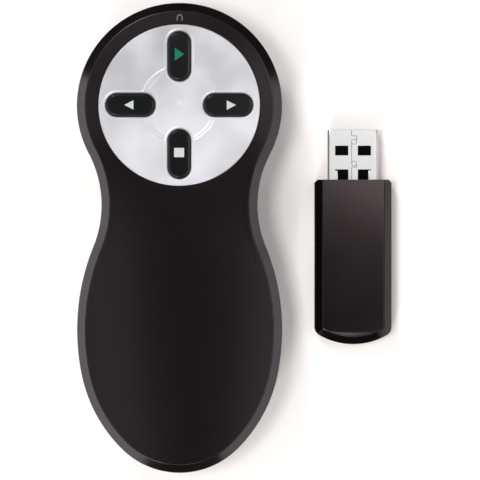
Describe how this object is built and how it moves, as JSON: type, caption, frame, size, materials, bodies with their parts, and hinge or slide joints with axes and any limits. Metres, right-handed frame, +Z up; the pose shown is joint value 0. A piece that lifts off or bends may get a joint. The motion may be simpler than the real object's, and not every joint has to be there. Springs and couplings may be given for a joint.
{
  "type": "wireless presentation clicker",
  "caption": "Waisted black handset with a round silver button plate and obround keys, a cell door underneath and a tail slot for its USB receiver, which lies beside it.",
  "frame": {"origin": "on the flat underside of the handset, straight below the middle of the round button plate", "axes": "+X to the handset's right, where the receiver lies, +Y from the tail to the head, +Z up out of the button face"},
  "size_m": [0.0736, 0.1082, 0.0276],
  "materials": {
    "soft_touch_black": "matt soft-touch paint",
    "satin_black": "fine satin",
    "plate_silver": "satin silver paint",
    "cap_black": "semi-gloss",
    "inner_black": "plain moulded",
    "gloss_black": "glossy",
    "switch_black": "plain moulded",
    "plunger_white": "plain moulded",
    "board_green": "solder mask",
    "chip_black": "moulded epoxy",
    "ceramic_tan": "fired ceramic",
    "can_steel": "satin",
    "screw_steel": "blackened",
    "contact_nickel": "nickel plated",
    "cell_jacket": "printed jacket",
    "plug_nickel": "bright nickel",
    "tongue_black": "plain moulded",
    "contact_gold": "gold flash"
  },
  "bodies": {
    "handset": {"back_switch": "switch_black", "board_screws": "screw_steel", "bottom_cover": "satin_black", "button_plate": "plate_silver", "case_screws": "screw_steel", "cell_link_plate": "contact_nickel", "cell_link_spring": "contact_nickel", "chip_antenna": "ceramic_tan", "chip_capacitors": "ceramic_tan", "clock_crystal": "can_steel", "controller_chip": "chip_black", "forward_switch": "switch_black", "left_cell": "cell_jacket", "main_board": "board_green", "negative_contact": "contact_nickel", "negative_spring": "contact_nickel", "nose_switch": "switch_black", "positive_contact": "contact_nickel", "radio_chip": "chip_black", "receiver_sleeve": "inner_black", "right_cell": "cell_jacket", "start_switch": "switch_black", "stop_switch": "switch_black", "top_cover": "soft_touch_black"},
    "forward_key": {"forward_button": "cap_black", "forward_plunger": "plunger_white"},
    "start_key": {"start_button": "cap_black", "start_plunger": "plunger_white"},
    "back_key": {"back_button": "cap_black", "back_plunger": "plunger_white"},
    "stop_key": {"stop_button": "cap_black", "stop_plunger": "plunger_white"},
    "door": {"battery_door": "satin_black"},
    "nose_pin": {"nose_plunger": "plunger_white"},
    "receiver": {"receiver_top_cover": "gloss_black", "receiver_bottom_cover": "gloss_black", "plug_shell": "plug_nickel", "plug_tongue": "tongue_black", "plug_contacts": "contact_gold", "receiver_board": "board_green", "receiver_radio_chip": "chip_black", "receiver_crystal": "can_steel", "receiver_capacitors": "ceramic_tan"}
  },
  "joints": [
    {"name": "forward_press", "type": "slide", "parent": "handset", "child": "forward_key", "axis": [0, 0, -1], "range_m": [0, 0.0004], "stiffness_N_per_m": 1000, "springref_m": -0.001},
    {"name": "start_press", "type": "slide", "parent": "handset", "child": "start_key", "axis": [0, 0, -1], "range_m": [0, 0.0004], "stiffness_N_per_m": 1000, "springref_m": -0.001},
    {"name": "back_press", "type": "slide", "parent": "handset", "child": "back_key", "axis": [0, 0, -1], "range_m": [0, 0.0004], "stiffness_N_per_m": 1000, "springref_m": -0.001},
    {"name": "stop_press", "type": "slide", "parent": "handset", "child": "stop_key", "axis": [0, 0, -1], "range_m": [0, 0.0004], "stiffness_N_per_m": 1000, "springref_m": -0.001},
    {"name": "door_slide", "type": "slide", "parent": "handset", "child": "door", "axis": [0, -1, 0], "range_m": [0, 0.008]},
    {"name": "nose_pin_press", "type": "slide", "parent": "handset", "child": "nose_pin", "axis": [0, 1, 0], "range_m": [0, 0.0012], "stiffness_N_per_m": 200, "springref_m": -0.001},
    {"name": "receiver_lift", "type": "slide", "parent": "handset", "child": "receiver", "axis": [0, 0, 1], "range_m": [0, 0.04]}
  ]
}
